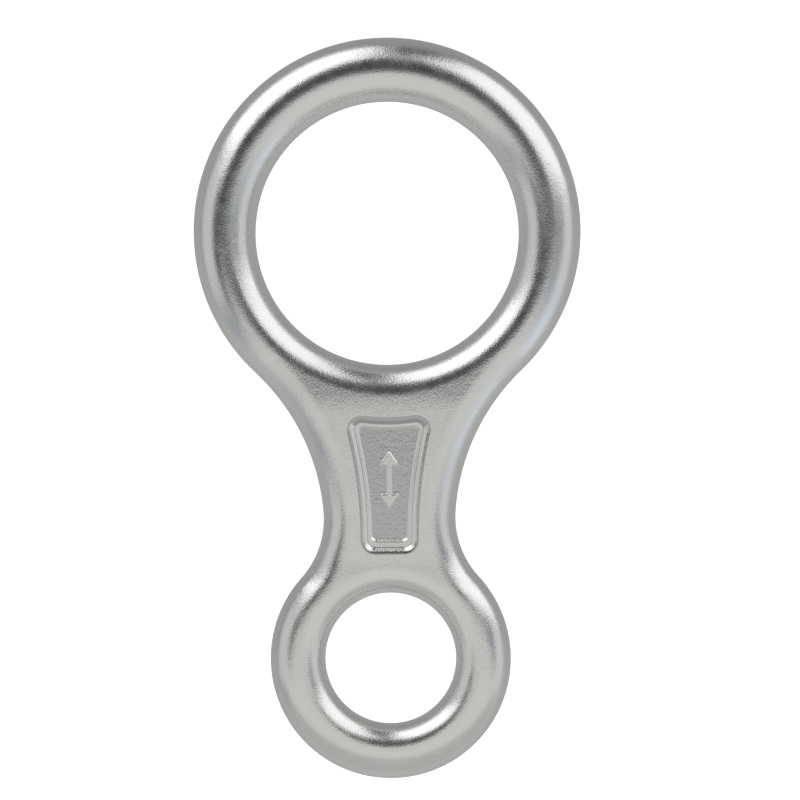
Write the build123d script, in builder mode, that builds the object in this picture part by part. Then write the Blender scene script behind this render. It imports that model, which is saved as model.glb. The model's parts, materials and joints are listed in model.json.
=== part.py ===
from build123d import *
from math import atan2, cos, degrees, sin, sqrt, tan
import os

# Figure-eight descender, forged in one piece. It lies flat on Z = 0 with its marked front face up.
# +Y points from the small carabiner eye to the large rope eye, and the origin is the centre of the base.

os.makedirs("parts", exist_ok=True)

# Driving dimensions, in millimetres
length = 120.0                 # overall, from the crown of the rope eye to the tip of the carabiner eye
ring_thickness = 13.0          # rope-eye ring, crest to crest
eye_thickness = 10.0           # carabiner eye; the web tapers from one thickness to the other
rope_outer_r = 31.35
rope_bore_r = 21.33
rope_bore_y = 28.3             # the bore sits a little low in its ring, so the crown is thicker
eye_outer_r = 19.45
eye_bore_r = 10.6
waist_half_width = 10.67       # at the narrowest point
shoulder_r = 35.0              # concave arc that leaves the rope ring
waist_r = 14.4                 # tighter concave arc that runs into the carabiner eye

# Edge rounds. What each pair leaves at mid-height is the upright land of the parting line
outer_round = 4.7
rope_bore_round = 5.0
eye_bore_round = 4.0

# The web's straight taper meets the ring's level and the eye's level here, eased by arcs this long
taper_top_y = 0.7
taper_foot_y = -24.75
top_ease = 3.0
foot_ease = 2.3

# Forged two-step recess in the middle of the web, the same on both faces
ledge_depth = 0.6
ledge_draft = 50.0             # wall from rim to ledge, in degrees from upright
ledge_top_y = -2.65
ledge_foot_y = -22.5
ledge_half_width = 3.54        # near the foot, where the hollow sides are parallel
ledge_corner_r = 1.2
floor_depth = 1.0
floor_draft = 50.0             # wall from ledge to floor
floor_top_y = -3.5
floor_foot_y = -21.15
floor_half_width = 2.75
floor_corner_r = 0.7
flare_r = 74.0                 # the hollow sides spread towards the rope ring
flare_y = -21.0
rim_round = 1.2
ledge_round = 0.3
floor_round = 0.2

# Raised load-axis mark on the front recess floor: a plain double-headed arrow
mark_y = -11.5
mark_length = 9.1
mark_head_width = 2.9
mark_head_length = 2.2
mark_stroke = 0.8
mark_height = 0.3

# Places that follow from the driving dimensions
rope_outer_y = length / 2 - rope_outer_r
eye_y = eye_outer_r - length / 2
mid_height = ring_thickness / 2
face_drop = (ring_thickness - eye_thickness) / 2
taper = atan2(face_drop, taper_top_y - taper_foot_y)
web_rise = mid_height - taper_top_y * tan(taper)          # the taper's height above mid-height at y = 0
front_web = Plane(
    origin=(0, 0, mid_height + web_rise), x_dir=(1, 0, 0), z_dir=(0, -sin(taper), cos(taper))
)
back_web = Plane(
    origin=(0, 0, mid_height - web_rise), x_dir=(-1, 0, 0), z_dir=(0, -sin(taper), -cos(taper))
)
clear = 2.0                    # how far cutting tools run past the faces
keystone_spare = 1.5           # how far the recess blank reaches above its rounded top
keystone_spread = 4.0          # and how many half widths across it starts
near = 0.05                    # how close an edge lies to the depth it is picked by


def heading(start, end):
    """Direction from one centre to another, in degrees from +X."""
    return degrees(atan2(end.Y - start.Y, end.X - start.X))


# Centres of the two concave arcs on the right-hand side. The waist arc touches the eye from outside, and
# the shoulder arc touches the rope ring from outside and the waist arc from within.
ring_centre = Vector(0, rope_outer_y)
eye_centre = Vector(0, eye_y)
waist_x = waist_half_width + waist_r
waist_centre = Vector(waist_x, eye_y + sqrt((eye_outer_r + waist_r) ** 2 - waist_x**2))
ring_reach = rope_outer_r + shoulder_r
waist_reach = shoulder_r - waist_r
gap = waist_centre - ring_centre
along = (ring_reach**2 - waist_reach**2 + gap.length**2) / (2 * gap.length)
aside = sqrt(ring_reach**2 - along**2)
unit = gap.normalized()
shoulder_centre = ring_centre + unit * along + Vector(-unit.Y, unit.X) * aside

# How far the outline turns along each arc, clockwise round the eyes and anticlockwise in the hollows
to_shoulder = heading(ring_centre, shoulder_centre)
to_waist = heading(eye_centre, waist_centre)
joint = heading(shoulder_centre, waist_centre)
ring_turn = to_shoulder - 90
shoulder_turn = joint - (to_shoulder + 180)
waist_turn = to_waist + 180 - joint
eye_turn = -90 - to_waist


def keystone(top_y, foot_y, half_width, corner_r):
    """Recess outline: top concentric with the rope bore, hollow sides, square foot, rounded corners."""
    width = keystone_spread * half_width
    height = top_y - foot_y + keystone_spare
    with Locations((0, foot_y)):
        Rectangle(width, height, align=(Align.CENTER, Align.MIN))
    with Locations((0, rope_bore_y)):
        Circle(rope_bore_y - top_y, mode=Mode.SUBTRACT)
    with Locations((half_width + flare_r, flare_y), (-half_width - flare_r, flare_y)):
        Circle(flare_r, mode=Mode.SUBTRACT)
    fillet(vertices(), corner_r)


def depth_below(web_face, edge):
    """How far an edge's middle lies below a web face."""
    return -web_face.to_local_coords(edge.center()).Z


with BuildPart() as figure_eight_body:
    # Blank with the full ring thickness
    with BuildSketch(Plane.XY):
        with BuildLine():
            crown = JernArc((0, length / 2), (1, 0), rope_outer_r, ring_turn)
            shoulder = JernArc(crown @ 1, crown % 1, shoulder_r, shoulder_turn)
            waist = JernArc(shoulder @ 1, shoulder % 1, waist_r, waist_turn)
            JernArc(waist @ 1, waist % 1, eye_outer_r, eye_turn)
            mirror(about=Plane.YZ)
        make_face()
    extrude(amount=ring_thickness)

    # Both faces taper from the ring's level to the eye's
    with BuildSketch(Plane(origin=(0, 0, mid_height), x_dir=(0, 1, 0), z_dir=(1, 0, 0))):
        with BuildLine():
            level_end = (taper_top_y + top_ease / 2, mid_height)
            turn = degrees(taper)
            top_arc = JernArc(level_end, (-1, 0), top_ease / taper, turn)
            foot_start = (
                taper_foot_y + foot_ease / 2 * cos(taper),
                mid_height - face_drop + foot_ease / 2 * sin(taper),
            )
            Line(top_arc @ 1, foot_start)
            foot_arc = JernArc(foot_start, top_arc % 1, foot_ease / taper, -turn)
            Polyline(
                foot_arc @ 1,
                (-length, (foot_arc @ 1).Y),
                (-length, mid_height + clear),
                (level_end[0], mid_height + clear),
                level_end,
            )
        make_face()
        mirror(about=Plane.XZ)
    extrude(amount=length, both=True, mode=Mode.SUBTRACT)

    # Rounded flanks, all the way round
    rims = figure_eight_body.edges().filter_by(Axis.Z, reverse=True).filter_by(Axis.X, reverse=True)
    fillet(rims, outer_round)

    # The two eyes
    for bore_y, bore_r, bore_round in (
        (rope_bore_y, rope_bore_r, rope_bore_round),
        (eye_y, eye_bore_r, eye_bore_round),
    ):
        with BuildSketch(Plane.XY):
            with Locations((0, bore_y)):
                Circle(bore_r)
        extrude(amount=ring_thickness, mode=Mode.SUBTRACT)
        mouths = figure_eight_body.edges(Select.LAST).filter_by(GeomType.CIRCLE)
        fillet(mouths, bore_round)

    # Two-step recess in each face, with every crease eased
    for web_face in (front_web, back_web):
        with BuildSketch(web_face.offset(-ledge_depth)):
            keystone(ledge_top_y, ledge_foot_y, ledge_half_width, ledge_corner_r)
        extrude(amount=clear, taper=-ledge_draft, mode=Mode.SUBTRACT)
        bent = figure_eight_body.edges(Select.LAST).filter_by(GeomType.LINE, reverse=True)
        fillet(bent.filter_by(lambda edge: depth_below(web_face, edge) < near), rim_round)
        with BuildSketch(web_face.offset(-floor_depth)):
            keystone(floor_top_y, floor_foot_y, floor_half_width, floor_corner_r)
        extrude(amount=clear, taper=-floor_draft, mode=Mode.SUBTRACT)
        for depth, crease_round in ((ledge_depth, ledge_round), (floor_depth, floor_round)):
            creases = figure_eight_body.edges().filter_by(
                lambda edge: abs(depth_below(web_face, edge) - depth) < near
            )
            fillet(creases, crease_round)

    # Load-axis mark
    shaft_length = mark_length - 2 * mark_head_length
    with BuildSketch(front_web.offset(-floor_depth)):
        with Locations((0, mark_y)):
            Rectangle(mark_stroke, shaft_length + 2 * mark_stroke)
            for side in (1, -1):
                tip = (0, side * mark_length / 2)
                barb = side * (mark_length / 2 - mark_head_length)
                with BuildLine():
                    Polyline(
                        tip, (mark_head_width / 2, barb), (-mark_head_width / 2, barb), close=True
                    )
                make_face()
    extrude(amount=mark_height)

figure_eight_body.part.label = "figure_eight_body"
export_step(figure_eight_body.part, "parts/figure_eight_body.step")
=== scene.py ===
import json
from math import atan2, cos, hypot, pi, radians, sin, sqrt, tan

import bmesh
import bpy
import numpy as np
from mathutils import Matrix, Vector, noise
from mathutils.geometry import delaunay_2d_cdt


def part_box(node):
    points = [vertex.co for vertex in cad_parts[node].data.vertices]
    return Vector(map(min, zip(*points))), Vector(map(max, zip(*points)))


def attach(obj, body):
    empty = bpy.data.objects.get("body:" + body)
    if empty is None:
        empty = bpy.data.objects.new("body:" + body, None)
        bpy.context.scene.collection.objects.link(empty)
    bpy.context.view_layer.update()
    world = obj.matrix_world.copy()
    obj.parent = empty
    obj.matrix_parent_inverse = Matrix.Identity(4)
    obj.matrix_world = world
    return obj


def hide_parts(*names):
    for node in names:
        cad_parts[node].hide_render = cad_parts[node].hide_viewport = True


# A forged figure-eight descender, lying front face up. Shapes are worked out in millimetres in the CAD
# frame, and turned into metres when the mesh is made.

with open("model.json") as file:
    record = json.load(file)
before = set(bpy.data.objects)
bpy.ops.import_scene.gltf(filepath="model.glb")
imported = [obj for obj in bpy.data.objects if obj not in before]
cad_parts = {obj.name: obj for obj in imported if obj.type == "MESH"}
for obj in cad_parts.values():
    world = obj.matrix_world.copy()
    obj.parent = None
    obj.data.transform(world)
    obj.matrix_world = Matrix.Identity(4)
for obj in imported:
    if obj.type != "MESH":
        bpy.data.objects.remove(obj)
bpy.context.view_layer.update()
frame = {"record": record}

MM = 0.001
BODY = "figure_eight_body"

# ---------------------------------------------------------------- sizes, in millimetres
mounts = {mount["name"]: mount for mount in frame["record"]["mounts"]}
low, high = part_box(BODY)
mid_z = (low.z + high.z) / 2 / MM
ring_half = (high.z - low.z) / 2 / MM            # half thickness of the rope ring
eye_half = 5.0                                   # and of the carabiner eye
length = 120.0

rope_y = mounts["rope_eye"]["pos_m"][1] / MM
rope_bore_r = mounts["rope_eye"]["dims"]["r_mm"]
eye_y = mounts["carabiner_eye"]["pos_m"][1] / MM
eye_bore_r = mounts["carabiner_eye"]["dims"]["r_mm"]
rope_outer_r = 31.35
eye_outer_r = 19.45
waist_half_width = 10.67
shoulder_r = 35.0
waist_r = 14.4
rope_crest_r = rope_bore_r + 5.0                 # highest line of the ring, round the bore's axis

# The parting line left where the flash was trimmed: a narrow band, a little proud of the flanks
band_half = 0.5
band_proud = 0.05
band_bevel = 0.1

# The web's straight taper between the two thicknesses, with the arcs that ease it in and out
taper_top_y = 0.7
taper_foot_y = -24.75
top_ease = 3.0
foot_ease = 2.3
taper = atan2(ring_half - eye_half, taper_top_y - taper_foot_y)

# Two-step recess: each step's outline where it is deepest, then depths and wall widths
ledge = {"top_y": -2.65, "foot_y": -22.5, "half_width": 3.54, "corner_r": 1.2}
floor = {"top_y": -3.5, "foot_y": -21.15, "half_width": 2.75, "corner_r": 0.7}
flare_r = 74.0
flare_y = -21.0
ledge_depth = 0.6
floor_depth = 1.0
ledge_wall = ledge_depth * tan(radians(50))
floor_wall = (floor_depth - ledge_depth) * tan(radians(50))
rim_reach = 1.6                                  # plain web and plain floor that the recess rows include
floor_reach = 0.5
crease_steps = 7                                 # points across each crease
top_columns = 30                                 # points from the middle of the top to past its corner
crease_radii = (1.2, 0.3, 0.3, 0.2)              # rim, ledge outside, ledge inside, floor
shaded_rim_steps = range(2)                              # steps of the rim that get painted shade, darker than the rest
shaded_crease_steps = range(1, 5)                        # and of the hollow creases
shaded_wall_rows = range(1, crease_steps + 3)           # rows of the wall at the top that get painted shade

# Raised load-axis arrow on the front floor
mark_y = -11.5
mark_length = 9.1
mark_head_width = 2.9
mark_head_length = 2.2
mark_stroke = 0.8
mark_height = 0.3
mark_slope = 0.07                                # half the width of its sloping edge
mark_round = 0.14

# How far apart the mesh points are on the web, the marked floor and the plain floor
web_spacing = 0.42
marked_spacing = 0.17
plain_spacing = 0.25

# ---------------------------------------------------------------- plan outline
def unit(angles):
    """Unit vectors at these angles."""
    return np.stack([np.cos(angles), np.sin(angles)], axis=-1)


def heading(start, end):
    """Angle of the line from one point to another."""
    return atan2(end[1] - start[1], end[0] - start[0])


def meet(centre_a, radius_a, centre_b, radius_b):
    """Where two circles cross, on the left of the line from a to b."""
    line = centre_b - centre_a
    reach = hypot(*line)
    along = (radius_a**2 - radius_b**2 + reach**2) / (2 * reach)
    aside = sqrt(radius_a**2 - along**2)
    line = line / reach
    return centre_a + line * along + np.array([-line[1], line[0]]) * aside


def stretch(start, end, count):
    """Angles from start up to but not including end."""
    return np.linspace(start, end, count, endpoint=False)


rope_axis = np.array([0.0, rope_y])
eye_axis = np.array([0.0, eye_y])
ring_centre = np.array([0.0, length / 2 - rope_outer_r])
waist_x = waist_half_width + waist_r
waist_centre = np.array([waist_x, eye_y + sqrt((eye_outer_r + waist_r) ** 2 - waist_x**2)])
shoulder_centre = meet(ring_centre, rope_outer_r + shoulder_r, waist_centre, shoulder_r - waist_r)
to_shoulder = heading(ring_centre, shoulder_centre)
to_waist = heading(eye_axis, waist_centre)
joint = heading(shoulder_centre, waist_centre)

ring_turns = stretch(pi / 2, to_shoulder, 150)
shoulder_turns = stretch(to_shoulder + pi, joint, 50)
waist_turns = stretch(joint, to_waist + pi, 30)
eye_turns = np.linspace(to_waist, -pi / 2, 100)

# Right half of the outline from crown to tip, with the direction inwards at each point
edge = np.concatenate([
    ring_centre + rope_outer_r * unit(ring_turns),
    shoulder_centre + shoulder_r * unit(shoulder_turns),
    waist_centre + waist_r * unit(waist_turns),
    eye_axis + eye_outer_r * unit(eye_turns),
])
inward = np.concatenate([
    -unit(ring_turns), unit(shoulder_turns), unit(waist_turns), -unit(eye_turns)
])

# The rounded flank runs in to the crest. On the ring that is the crest circle, and from the shoulder on
# the flank keeps the width that it has there
n_ring = len(ring_turns)
n_eye = len(eye_turns)
back = -np.sum((edge - rope_axis) * inward, axis=1)
reach = np.sum((edge - rope_axis) ** 2, axis=1) - rope_crest_r**2
flank = back - np.sqrt(np.maximum(back**2 - reach, 0))
flank[n_ring:] = flank[n_ring]
eye_crest_r = eye_outer_r - flank[n_ring]


def both_halves(right):
    """A closed loop from its right half, which runs from crown to tip, both ends on the axis."""
    left = right[-2:0:-1] * np.array([-1.0] + [1.0] * (right.shape[1] - 1))
    return np.concatenate([right, left])


def closed(values):
    """The same for values that don't change sign across the axis."""
    return np.concatenate([values, values[-2:0:-1]])


outline = both_halves(edge)
outline_inward = both_halves(inward)
outline_flank = closed(flank)


def half_height(points):
    """Half the thickness at these plan points: level, eased into the taper, eased out of it, level."""
    y = points[:, 1]
    top_r, foot_r = top_ease / taper, foot_ease / taper
    past_top = np.clip(taper_top_y + top_ease / 2 - y, 0, top_ease)
    before_foot = np.clip(y - taper_foot_y + foot_ease / 2, 0, foot_ease)
    ring = ring_half - top_r + np.sqrt(top_r**2 - past_top**2)
    web = ring_half - tan(taper) * (taper_top_y - y)
    eye = eye_half + foot_r - np.sqrt(foot_r**2 - before_foot**2)
    on_ring = y > taper_top_y - top_ease / 2
    on_web = y > taper_foot_y + foot_ease / 2
    return np.where(on_ring, ring, np.where(on_web, web, eye))


# ---------------------------------------------------------------- mesh pieces
verts, faces, face_materials = [], [], []
# The third finish paints shade: a darker base colour in the recess creases and on the wall at the top
POLISHED, RAW, PAINTED_SHADE = 0, 1, 2


def add(points, polygons, finishes=None):
    """Adds points, polygons that count from the first of the points, and the polygons' finishes."""
    first = sum(len(block) for block in verts)
    verts.append(np.asarray(points, float))
    faces.extend(tuple(first + i for i in polygon) for polygon in polygons)
    face_materials.extend(finishes or [POLISHED] * len(polygons))


def grid_faces(rows, columns):
    """Quads of a grid of rows, each a closed loop."""
    return [
        (r * columns + c, r * columns + (c + 1) % columns,
         (r + 1) * columns + (c + 1) % columns, (r + 1) * columns + c)
        for r in range(rows - 1)
        for c in range(columns)
    ]


def rounded_wall(wall, direction, width, arc_steps=18):
    """Rows of points from the front crest over the edge to the back crest, for one closed loop.

    wall is the loop at the parting line, and direction points from it into the metal.
    """
    crest = half_height(wall + direction * width[:, None])
    wall_top = np.maximum(crest - width, band_half + band_bevel)
    rows = []
    for k in range(arc_steps + 1):
        turn = pi / 2 * (1 - k / arc_steps)
        inset = band_proud + (width - band_proud) * (1 - cos(turn))
        if k == 0:
            inset = width
        plan = wall + direction * inset[:, None]
        height = wall_top + (half_height(plan) - wall_top) * sin(turn)
        rows.append((plan, height))
    for inset, height in ((band_proud, band_half + band_bevel), (0.0, band_half), (0.0, 0.0)):
        rows.append((wall + direction * inset, np.full(len(wall), height)))
    front = [np.column_stack([plan, mid_z + height]) for plan, height in rows]
    rear = [np.column_stack([plan, mid_z - height]) for plan, height in rows[-2::-1]]
    return front + rear


def loop_wall(rows):
    """Adds a closed wall, and returns its front and back crest loops."""
    add(np.concatenate(rows), grid_faces(len(rows), len(rows[0])))
    return rows[0], rows[-1]


outer_rows = rounded_wall(outline, outline_inward, outline_flank)
loop_wall(outer_rows)

# The bores take the flank's own sections round their rings, and even ones where they face the web
ring_crest = edge[:n_ring] + inward[:n_ring] * flank[:n_ring, None]
shoulder_crest = edge[n_ring] + inward[n_ring] * flank[n_ring]
below = heading(rope_axis, shoulder_crest)
rope_turns = np.concatenate([
    [heading(rope_axis, point) for point in ring_crest], np.linspace(below, -pi / 2, 48)
])
rope_directions = both_halves(unit(rope_turns))
rope_rows = rounded_wall(
    rope_axis + rope_bore_r * rope_directions, rope_directions,
    np.full(len(rope_directions), rope_crest_r - rope_bore_r),
)
loop_wall(rope_rows)
top_turns = stretch(pi / 2, to_waist, 34)
eye_directions = both_halves(unit(np.concatenate([top_turns, eye_turns])))
eye_rows = rounded_wall(
    eye_axis + eye_bore_r * eye_directions, eye_directions,
    np.full(len(eye_directions), eye_crest_r - eye_bore_r),
)
loop_wall(eye_rows)


# ---------------------------------------------------------------- recess
def arc(centre, start, end, count, endpoint=False):
    """Points on the arc about centre from start to end, the short way round."""
    first = heading(centre, start)
    sweep = (heading(centre, end) - first + pi) % (2 * pi) - pi
    angles = first + np.linspace(0, sweep, count, endpoint=endpoint)
    return centre + hypot(*(start - centre)) * unit(angles)


def keystone(shape, out=0.0):
    """Closed recess outline, grown by out: top concentric with the rope bore, hollow sides, square foot."""
    corner_r = max(shape["corner_r"] + out, 0.05)
    top_r = rope_y - shape["top_y"] - out
    foot_y = shape["foot_y"] - out
    side_r = flare_r - out
    side_centre = np.array([shape["half_width"] + flare_r, flare_y])
    upper = meet(side_centre, side_r + corner_r, rope_axis, top_r + corner_r)
    lower_y = foot_y + corner_r
    lower_x = side_centre[0] - sqrt((side_r + corner_r) ** 2 - (lower_y - flare_y) ** 2)
    lower = np.array([lower_x, lower_y])

    def touch(centre, radius, corner):
        return centre + (corner - centre) / hypot(*(corner - centre)) * radius

    top_middle = rope_axis - np.array([0, top_r])
    top_end = touch(rope_axis, top_r, upper)
    side_top = touch(side_centre, side_r, upper)
    side_foot = touch(side_centre, side_r, lower)
    foot_end = np.array([lower_x, foot_y])
    right = np.concatenate([
        arc(rope_axis, top_middle, top_end, 22),
        arc(upper, top_end, side_top, 12),
        arc(side_centre, side_top, side_foot, 70),
        arc(lower, side_foot, foot_end, 12),
        np.linspace(foot_end, (0.0, foot_y), 14),
    ])
    return both_halves(right)


def eased_corner(before, corner, after, radius, steps):
    """Samples across a corner of many sections at once, each point a (distance, height) pair."""
    to_before = before - corner
    to_after = after - corner
    long_before = np.linalg.norm(to_before, axis=1, keepdims=True)
    long_after = np.linalg.norm(to_after, axis=1, keepdims=True)
    to_before = to_before / long_before
    to_after = to_after / long_after
    bend = np.arccos(np.clip(-np.sum(to_before * to_after, axis=1), -1, 1))[:, None]
    pull = np.minimum(radius * np.tan(bend / 2), 0.48 * np.minimum(long_before, long_after))
    start, end = corner + to_before * pull, corner + to_after * pull
    samples = []
    for t in np.linspace(0, 1, steps):
        samples.append((1 - t) ** 2 * start + 2 * t * (1 - t) * corner + t * t * end)
    return samples


def recess_rows():
    """Rows of plan points and half heights, from the web over rim and ledge to the floor."""
    loops = [
        keystone(ledge, ledge_wall + rim_reach), keystone(ledge, ledge_wall), keystone(ledge),
        keystone(floor, floor_wall), keystone(floor), keystone(floor, -floor_reach),
    ]
    count = len(loops[0])
    depths = (0, 0, ledge_depth, ledge_depth, floor_depth, floor_depth)
    steps = [np.hypot(*(b - a).T) for a, b in zip(loops, loops[1:])]
    distances = [np.zeros(count)] + list(np.cumsum(steps, axis=0))
    corners = [
        np.column_stack([distance, np.full(count, -depth)]) for distance, depth in zip(distances, depths)
    ]
    rows = []
    for k, radius in enumerate(crease_radii, start=1):
        for sample in eased_corner(*corners[k - 1:k + 2], radius, crease_steps):
            plan = np.empty((count, 2))
            for a in range(len(loops) - 1):
                inside = (sample[:, 0] >= distances[a]) & (sample[:, 0] <= distances[a + 1])
                share = (sample[:, 0] - distances[a]) / np.maximum(steps[a], 1e-9)
                point = loops[a] + (loops[a + 1] - loops[a]) * share[:, None]
                plan[inside] = point[inside]
            rows.append((plan, half_height(plan) + sample[:, 1]))
    return rows


# ---------------------------------------------------------------- flat areas between the loops
def inside_loop(points, loop):
    """Which points lie inside a closed loop."""
    x, y = points[:, 0][:, None], points[:, 1][:, None]
    ax, ay = loop[:, 0], loop[:, 1]
    bx, by = np.roll(ax, -1), np.roll(ay, -1)
    crosses = (ay > y) != (by > y)
    run = np.where(by == ay, 1.0, by - ay)
    hits = crosses & (x < ax + (y - ay) * (bx - ax) / run)
    return hits.sum(axis=1) % 2 == 1


def hex_points(loop, spacing):
    """A triangular lattice over a loop's box, the same on both sides of the axis."""
    row_gap = spacing * sqrt(3) / 2
    lowest, highest = loop.min(axis=0), loop.max(axis=0)
    rows = np.arange(lowest[1], highest[1], row_gap)
    points = []
    for k, y in enumerate(rows):
        shift = spacing / 2 if k % 2 else 0.0
        xs = np.arange(shift, highest[0], spacing)
        xs = np.concatenate([-xs[xs > 0], xs])
        points.extend((x, y) for x in xs)
    return np.array(points)


def turned_over(points):
    """The same (x, y, z) points on the back face."""
    return points * np.array([1, 1, -1]) + np.array([0, 0, 2 * mid_z])


def fill(boundary, holes, lines, spacing, height, material, front):
    """Fills the area inside boundary and outside holes with even triangles.

    Loops are (x, y, z) points. lines are loops that the mesh follows without stopping there, and what
    lies inside the first of them is polished.
    """
    loops = [boundary] + holes + lines
    fixed = np.concatenate(loops)
    lattice = hex_points(boundary, spacing)
    keep = inside_loop(lattice, boundary[:, :2])
    for hole in holes:
        keep &= ~inside_loop(lattice, hole[:, :2])
    lattice = lattice[keep]
    gaps = np.array([np.hypot(*(fixed[:, :2] - point).T).min() for point in lattice])
    lattice = lattice[gaps > 0.6 * spacing]
    inner = np.column_stack([lattice, height(lattice)])
    points = np.concatenate([fixed, inner])
    links, first = [], 0
    for loop in loops:
        count = len(loop)
        links.extend((first + i, first + (i + 1) % count) for i in range(count))
        first += count
    result = delaunay_2d_cdt([Vector(p[:2]) for p in points], links, [], 1, 1e-7)
    new_faces, origin = result[2], result[3]
    index = [own[0] if own else None for own in origin]
    triangles = []
    for face in new_faces:
        corners = [index[i] for i in face]
        if None not in corners:
            triangles.append(corners)
    centres = points[np.array(triangles)][:, :, :2].mean(axis=1)
    keep = inside_loop(centres, boundary[:, :2])
    for hole in holes:
        keep &= ~inside_loop(centres, hole[:, :2])
    rubbed = inside_loop(centres, lines[0][:, :2]) if lines else np.zeros(len(centres), bool)
    finishes = [POLISHED if rub else material for rub in rubbed[keep]]
    kept = [triangle for triangle, inside in zip(triangles, keep) if inside]
    add(points if front else turned_over(points), kept, finishes)


def lifted(rows):
    """Front-face (x, y, z) rows from (plan, half height) rows."""
    return [np.column_stack([plan, mid_z + height]) for plan, height in rows]


def recess_polish_and_shade(rows, columns):
    """Finish of each recess quad: polished, or a slightly rougher copy with a darker base colour, which
    paints shade into the creases and over the whole wall at the top.
    """
    finishes = []
    for r in range(rows - 1):
        crease, step = divmod(r, crease_steps)
        for c in range(columns):
            on_wall = r in shaded_wall_rows and min(c, columns - c) < top_columns
            in_rim = crease == 0 and step in shaded_rim_steps
            in_hollow = crease in (1, 3) and step in shaded_crease_steps
            finishes.append(PAINTED_SHADE if on_wall or in_rim or in_hollow else POLISHED)
    return finishes


pocket = lifted(recess_rows())
for rows in (pocket, [turned_over(row) for row in pocket]):
    size = (len(rows), len(rows[0]))
    add(np.concatenate(rows), grid_faces(*size), recess_polish_and_shade(*size))

# The web is bounded by the right flank's crest, the eye's crest over its top, the left flank's crest and
# the rope bore's crest under the bore
crest_loop = outer_rows[0]
n_half = len(edge)
n_outline = len(outline)
right_flank = crest_loop[n_ring:n_half - n_eye + 1]
left_flank = crest_loop[n_outline - (n_half - n_eye):n_outline - n_ring + 1]
eye_top = eye_rows[0]
n_top = len(top_turns)
eye_over = np.concatenate([eye_top[n_top - 1::-1], eye_top[:-n_top:-1]])
rope_under = rope_rows[0][n_ring:len(rope_rows[0]) - n_ring + 1][::-1]
web_loop = np.concatenate([right_flank, eye_over, left_flank, rope_under[1:-1]])


def web_height(points):
    return mid_z + half_height(points)


for front in (True, False):
    fill(web_loop, [pocket[0]], [], web_spacing, web_height, POLISHED, front)


# ---------------------------------------------------------------- recess floors
def rounded_polygon(points, radius, steps=4):
    """A polygon with each corner rounded, its edges divided finely."""
    points = np.array(points, float)
    count = len(points)
    path = []
    for i in range(count):
        before, corner, after = points[i - 1], points[i], points[(i + 1) % count]
        to_before = (before - corner) / hypot(*(before - corner))
        to_after = (after - corner) / hypot(*(after - corner))
        bend = np.arccos(np.clip(-to_before @ to_after, -1, 1))
        pull = min(radius * tan(bend / 2), 0.4 * hypot(*(before - corner)), 0.4 * hypot(*(after - corner)))
        start, end = corner + to_before * pull, corner + to_after * pull
        for t in np.linspace(0, 1, steps):
            path.append((1 - t) ** 2 * start + 2 * t * (1 - t) * corner + t * t * end)
    dense = []
    for a, b in zip(path, path[1:] + path[:1]):
        parts = max(1, int(hypot(*(b - a)) / 0.16))
        dense.extend(a + (b - a) * t for t in np.linspace(0, 1, parts, endpoint=False))
    return np.array(dense)


def arrow(grow):
    """Double-headed arrow outline along Y, grown by grow on every side."""
    half = mark_length / 2
    barb = half - mark_head_length
    stem = mark_stroke / 2 + grow
    slope = hypot(mark_head_width / 2, mark_head_length)
    tip = half + grow * slope / (mark_head_width / 2)
    wing_y = barb - grow
    wing_x = (tip - wing_y) * (mark_head_width / 2) / mark_head_length
    right = [(0, tip), (wing_x, wing_y), (stem, wing_y), (stem, -wing_y), (wing_x, -wing_y), (0, -tip)]
    left = [(-x, y) for x, y in right[-2:0:-1]]
    points = [(x, y + mark_y) for x, y in right + left]
    return rounded_polygon(points, mark_round)


def grain(points, size, seed):
    """Irregular forge texture, about -1 to 1, with lumps of this size."""
    return np.array([
        noise.fractal(Vector((x / size, y / size, seed)), 0.9, 2.1, 3, noise_basis="PERLIN_ORIGINAL")
        for x, y in points
    ])


base_line, top_line = arrow(mark_slope), arrow(-mark_slope)
floor_grain = 0.022
grain_size = 0.42


def floor_height(points):
    return mid_z + half_height(points) - floor_depth


def marked_floor(points):
    """Front floor: rough, with the raised arrow, whose top is smoother."""
    raised = inside_loop(points, top_line)
    rough = floor_grain * grain(points, grain_size, 3.7) * np.where(raised, 0.4, 1)
    return floor_height(points) + mark_height * raised + rough


def plain_floor(points):
    return floor_height(points) + floor_grain * grain(points, grain_size, 9.1)


marks = [
    np.column_stack([base_line, floor_height(base_line)]),
    np.column_stack([top_line, floor_height(top_line) + mark_height]),
]
fill(pocket[-1], [], marks, marked_spacing, marked_floor, RAW, True)
fill(pocket[-1], [], [], plain_spacing, plain_floor, RAW, False)

# ---------------------------------------------------------------- the body as one closed mesh
mesh = bpy.data.meshes.new(BODY + "_forging")
mesh.from_pydata((np.concatenate(verts) * MM).tolist(), [], faces)
mesh.polygons.foreach_set("material_index", face_materials)
mesh.polygons.foreach_set("use_smooth", [True] * len(faces))
tidy = bmesh.new()
tidy.from_mesh(mesh)
bmesh.ops.remove_doubles(tidy, verts=tidy.verts, dist=2e-7)
bmesh.ops.recalc_face_normals(tidy, faces=tidy.faces)
tidy.to_mesh(mesh)
tidy.free()
body = bpy.data.objects.new("figure_eight", mesh)
bpy.context.scene.collection.objects.link(body)
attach(body, "root")
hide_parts(BODY)


# ---------------------------------------------------------------- materials
def new_material(name):
    """An empty node material with its Principled shader."""
    material = bpy.data.materials.new(name)
    material.use_nodes = True
    nodes = material.node_tree.nodes
    return material, nodes, material.node_tree.links, nodes["Principled BSDF"]


def noise_node(nodes, links, coords, size_mm, detail, roughness=0.5):
    """Noise with lumps of about size_mm, over the object's own coordinates in metres."""
    node = nodes.new("ShaderNodeTexNoise")
    node.inputs["Scale"].default_value = 1 / (size_mm * MM)
    node.inputs["Detail"].default_value = detail
    node.inputs["Roughness"].default_value = roughness
    links.new(coords.outputs["Object"], node.inputs["Vector"])
    return node


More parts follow.
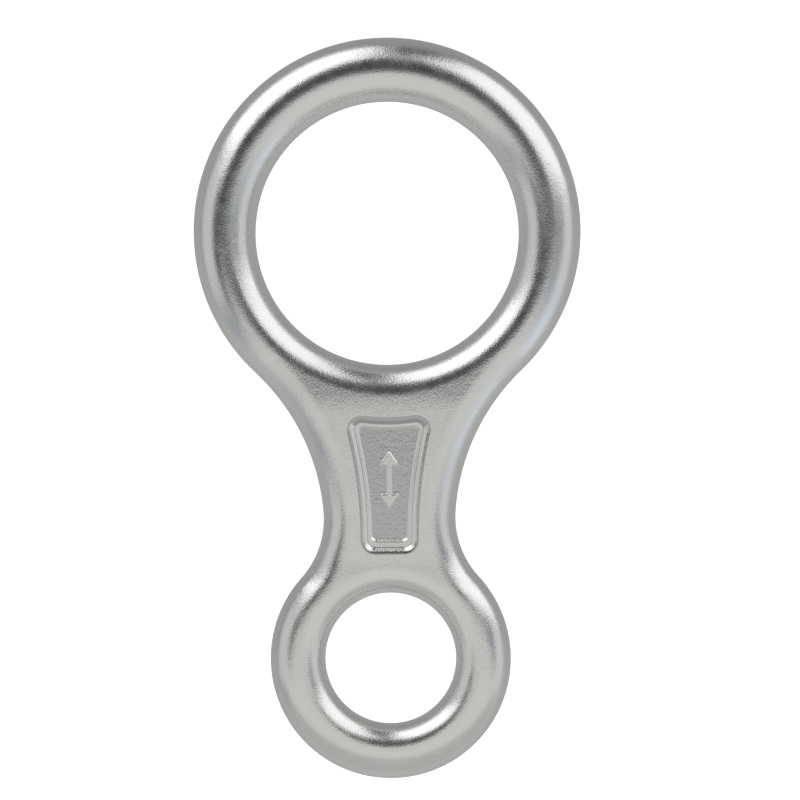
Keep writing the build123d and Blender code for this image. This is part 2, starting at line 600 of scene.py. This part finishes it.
def bump_node(nodes, links, source, height_mm, strength, normal=None):
    """Bump whose full range is height_mm."""
    node = nodes.new("ShaderNodeBump")
    node.inputs["Strength"].default_value = strength
    node.inputs["Distance"].default_value = height_mm * MM
    links.new(source.outputs["Fac"], node.inputs["Height"])
    if normal is not None:
        links.new(normal.outputs["Normal"], node.inputs["Normal"])
    return node


def spread(nodes, links, source, low_value, high_value):
    """Maps the middle of a noise's range onto low_value to high_value."""
    node = nodes.new("ShaderNodeMapRange")
    node.inputs["From Min"].default_value = 0.3
    node.inputs["From Max"].default_value = 0.7
    node.inputs["To Min"].default_value = low_value
    node.inputs["To Max"].default_value = high_value
    links.new(source.outputs["Fac"], node.inputs["Value"])
    return node


def aluminium(name, colour, rough_low, rough_high, grain_mm, grain_height, peel_mm, peel_height):
    """Bare aluminium with a fine grain, a softer orange peel and patches of slightly duller polish."""
    material, nodes, links, shader = new_material(name)
    shader.inputs["Base Color"].default_value = (*colour, 1)
    shader.inputs["Metallic"].default_value = 1.0
    coords = nodes.new("ShaderNodeTexCoord")
    patches = noise_node(nodes, links, coords, 2.2, 4)
    duller = spread(nodes, links, patches, rough_low, rough_high)
    links.new(duller.outputs["Result"], shader.inputs["Roughness"])
    peel = bump_node(nodes, links, noise_node(nodes, links, coords, peel_mm, 1), peel_height, 1.0)
    fine = bump_node(
        nodes, links, noise_node(nodes, links, coords, grain_mm, 2, 0.6), grain_height, 1.0, peel
    )
    links.new(fine.outputs["Normal"], shader.inputs["Normal"])
    return material


polished = aluminium(
    "polished_aluminium", (0.83, 0.83, 0.82), rough_low=0.23, rough_high=0.29,
    grain_mm=0.32, grain_height=0.024, peel_mm=1.3, peel_height=0.010,
)
raw = aluminium(
    "raw_forged_aluminium", (0.64, 0.64, 0.64), rough_low=0.30, rough_high=0.40,
    grain_mm=0.34, grain_height=0.035, peel_mm=0.7, peel_height=0.02,
)
# Painted shade for the recess creases and its top wall: the polish with a darker base colour, and a little
# rougher
painted_crease_shade = aluminium(
    "aluminium_painted_crease_shade", (0.52, 0.52, 0.52), rough_low=0.26, rough_high=0.34,
    grain_mm=0.32, grain_height=0.024, peel_mm=1.3, peel_height=0.010,
)
for finish in (polished, raw, painted_crease_shade):
    body.data.materials.append(finish)


# ---------------------------------------------------------------- studio
def emission_material(name, colour, strength, sampling="NONE"):
    material = bpy.data.materials.new(name)
    material.use_nodes = True
    nodes, links = material.node_tree.nodes, material.node_tree.links
    nodes.clear()
    glow = nodes.new("ShaderNodeEmission")
    glow.inputs["Color"].default_value = (*colour, 1)
    glow.inputs["Strength"].default_value = strength
    out = nodes.new("ShaderNodeOutputMaterial")
    links.new(glow.outputs["Emission"], out.inputs["Surface"])
    material.cycles.emission_sampling = sampling
    return material


def seen_only(obj):
    """Keeps a stage piece out of everything but the camera's own view."""
    obj.visible_glossy = False
    obj.visible_diffuse = False
    obj.visible_transmission = False
    obj.visible_shadow = False


def make_floor():
    half_side = 1.6                              # metres
    floor_mesh = bpy.data.meshes.new("table")
    corners = [(x * half_side, y * half_side, 0) for x, y in ((-1, -1), (1, -1), (1, 1), (-1, 1))]
    floor_mesh.from_pydata(corners, [], [(0, 1, 2, 3)])
    table = bpy.data.objects.new("table", floor_mesh)
    bpy.context.scene.collection.objects.link(table)
    material, nodes, links, shader = new_material("white_table")
    shader.inputs["Base Color"].default_value = (0.9, 0.9, 0.9, 1)
    shader.inputs["Roughness"].default_value = 1.0
    shader.inputs["Specular IOR Level"].default_value = 0.0
    shader.inputs["Emission Color"].default_value = (1, 1, 1, 1)
    shader.inputs["Emission Strength"].default_value = 0.9
    material.cycles.emission_sampling = "NONE"
    table.data.materials.append(material)
    table.visible_glossy = False


def make_backdrop():
    ball = bmesh.new()
    bmesh.ops.create_uvsphere(ball, u_segments=48, v_segments=24, radius=1.5)
    backdrop_mesh = bpy.data.meshes.new("backdrop")
    ball.to_mesh(backdrop_mesh)
    ball.free()
    backdrop = bpy.data.objects.new("backdrop", backdrop_mesh)
    bpy.context.scene.collection.objects.link(backdrop)
    backdrop.data.materials.append(emission_material("white_backdrop", (1, 1, 1), 0.96))
    seen_only(backdrop)


def card(name, start, end, height, lean, radiance, colour=(1, 1, 1), bottom=0):
    """A glowing rectangle that stands along the line from start to end, in millimetres.

    lean is how far its top stands off its bottom line, in x and y.
    """
    foot = [Vector((*start, bottom)), Vector((*end, bottom))]
    up = Vector((*lean, height))
    corners = [foot[0], foot[1], foot[1] + up, foot[0] + up]
    card_mesh = bpy.data.meshes.new(name)
    card_mesh.from_pydata([corner * MM for corner in corners], [], [(0, 1, 2, 3)])
    obj = bpy.data.objects.new(name, card_mesh)
    bpy.context.scene.collection.objects.link(obj)
    obj.data.materials.append(emission_material(name, colour, radiance, "FRONT_BACK"))
    obj.visible_camera = False
    obj.visible_diffuse = False
    obj.visible_shadow = False


def room_world():
    """What the metal sees past the cards: a dim ceiling, and grey walls that are lighter to the front."""
    world = bpy.data.worlds.new("room")
    world.use_nodes = True
    nodes, links = world.node_tree.nodes, world.node_tree.links
    coords = nodes.new("ShaderNodeTexCoord")

    def graded(level, lean, tint):
        """A tinted brightness that changes evenly across the directions, by lean."""
        across = nodes.new("ShaderNodeVectorMath")
        across.operation = "DOT_PRODUCT"
        across.inputs[1].default_value = lean
        links.new(coords.outputs["Generated"], across.inputs[0])
        raised = nodes.new("ShaderNodeMath")
        raised.inputs[1].default_value = level
        links.new(across.outputs["Value"], raised.inputs[0])
        not_black = nodes.new("ShaderNodeMath")
        not_black.operation = "MAXIMUM"
        not_black.inputs[1].default_value = 0.01
        links.new(raised.outputs["Value"], not_black.inputs[0])
        tinted = nodes.new("ShaderNodeVectorMath")
        tinted.operation = "SCALE"
        tinted.inputs[0].default_value = tint
        links.new(not_black.outputs["Value"], tinted.inputs["Scale"])
        return tinted.outputs["Vector"]

    split = nodes.new("ShaderNodeSeparateXYZ")
    links.new(coords.outputs["Generated"], split.inputs["Vector"])
    height = nodes.new("ShaderNodeMapRange")
    height.interpolation_type = "SMOOTHSTEP"
    height.inputs["From Min"].default_value = -0.3
    height.inputs["From Max"].default_value = 0.3
    links.new(split.outputs["Z"], height.inputs["Value"])
    blend = nodes.new("ShaderNodeMix")
    blend.data_type = "RGBA"
    links.new(height.outputs["Result"], blend.inputs["Factor"])
    links.new(graded(0.4, (0.0, -0.1, 0.0), (1.0, 1.0, 0.98)), blend.inputs["A"])
    links.new(graded(0.16, (0.25, -0.85, -0.07), (0.93, 1.0, 1.08)), blend.inputs["B"])
    links.new(blend.outputs["Result"], nodes["Background"].inputs["Color"])
    bpy.context.scene.world = world


make_floor()
make_backdrop()
# Two tall softboxes behind the rope eye with a gap between them, a low card over the front that is dimmer at
# its foot, and a plain card at each side
warm = (1.0, 0.995, 0.97)
card("softbox_left", (-450, 300), (-25, 875), 725, (-25, -75), 1.4)
card("softbox_right", (600, 1350), (800, 200), 1225, (-325, 50), 1.15)
card("front_card", (-125, -85), (125, -85), 235, (0, 90), 0.64, warm, bottom=50)
card("front_card_foot", (-125, -105), (125, -105), 50, (0, 20), 0.45, warm)
card("side_card_left", (-675, -250), (-675, 350), 675, (0, 0), 0.6)
card("side_card_right", (725, -250), (725, 175), 500, (0, 0), 0.65)
room_world()

# ---------------------------------------------------------------- camera
view_width = 129.7                               # width of the view at the object's middle height
camera_height = 900.0
aim = (1.85, 1.25)
roll = radians(0.5)
camera_data = bpy.data.cameras.new("camera")
camera_data.sensor_width = 36.0
camera_data.lens = 36.0 * camera_height / view_width
camera_data.clip_start = 0.01
camera_data.clip_end = 10
camera = bpy.data.objects.new("camera", camera_data)
camera.location = (aim[0] * MM, aim[1] * MM, (mid_z + camera_height) * MM)
camera.rotation_euler = (0, 0, -roll)
bpy.context.scene.collection.objects.link(camera)
bpy.context.scene.camera = camera
bpy.context.scene.view_settings.view_transform = "Standard"
bpy.context.scene.cycles.use_denoising = False
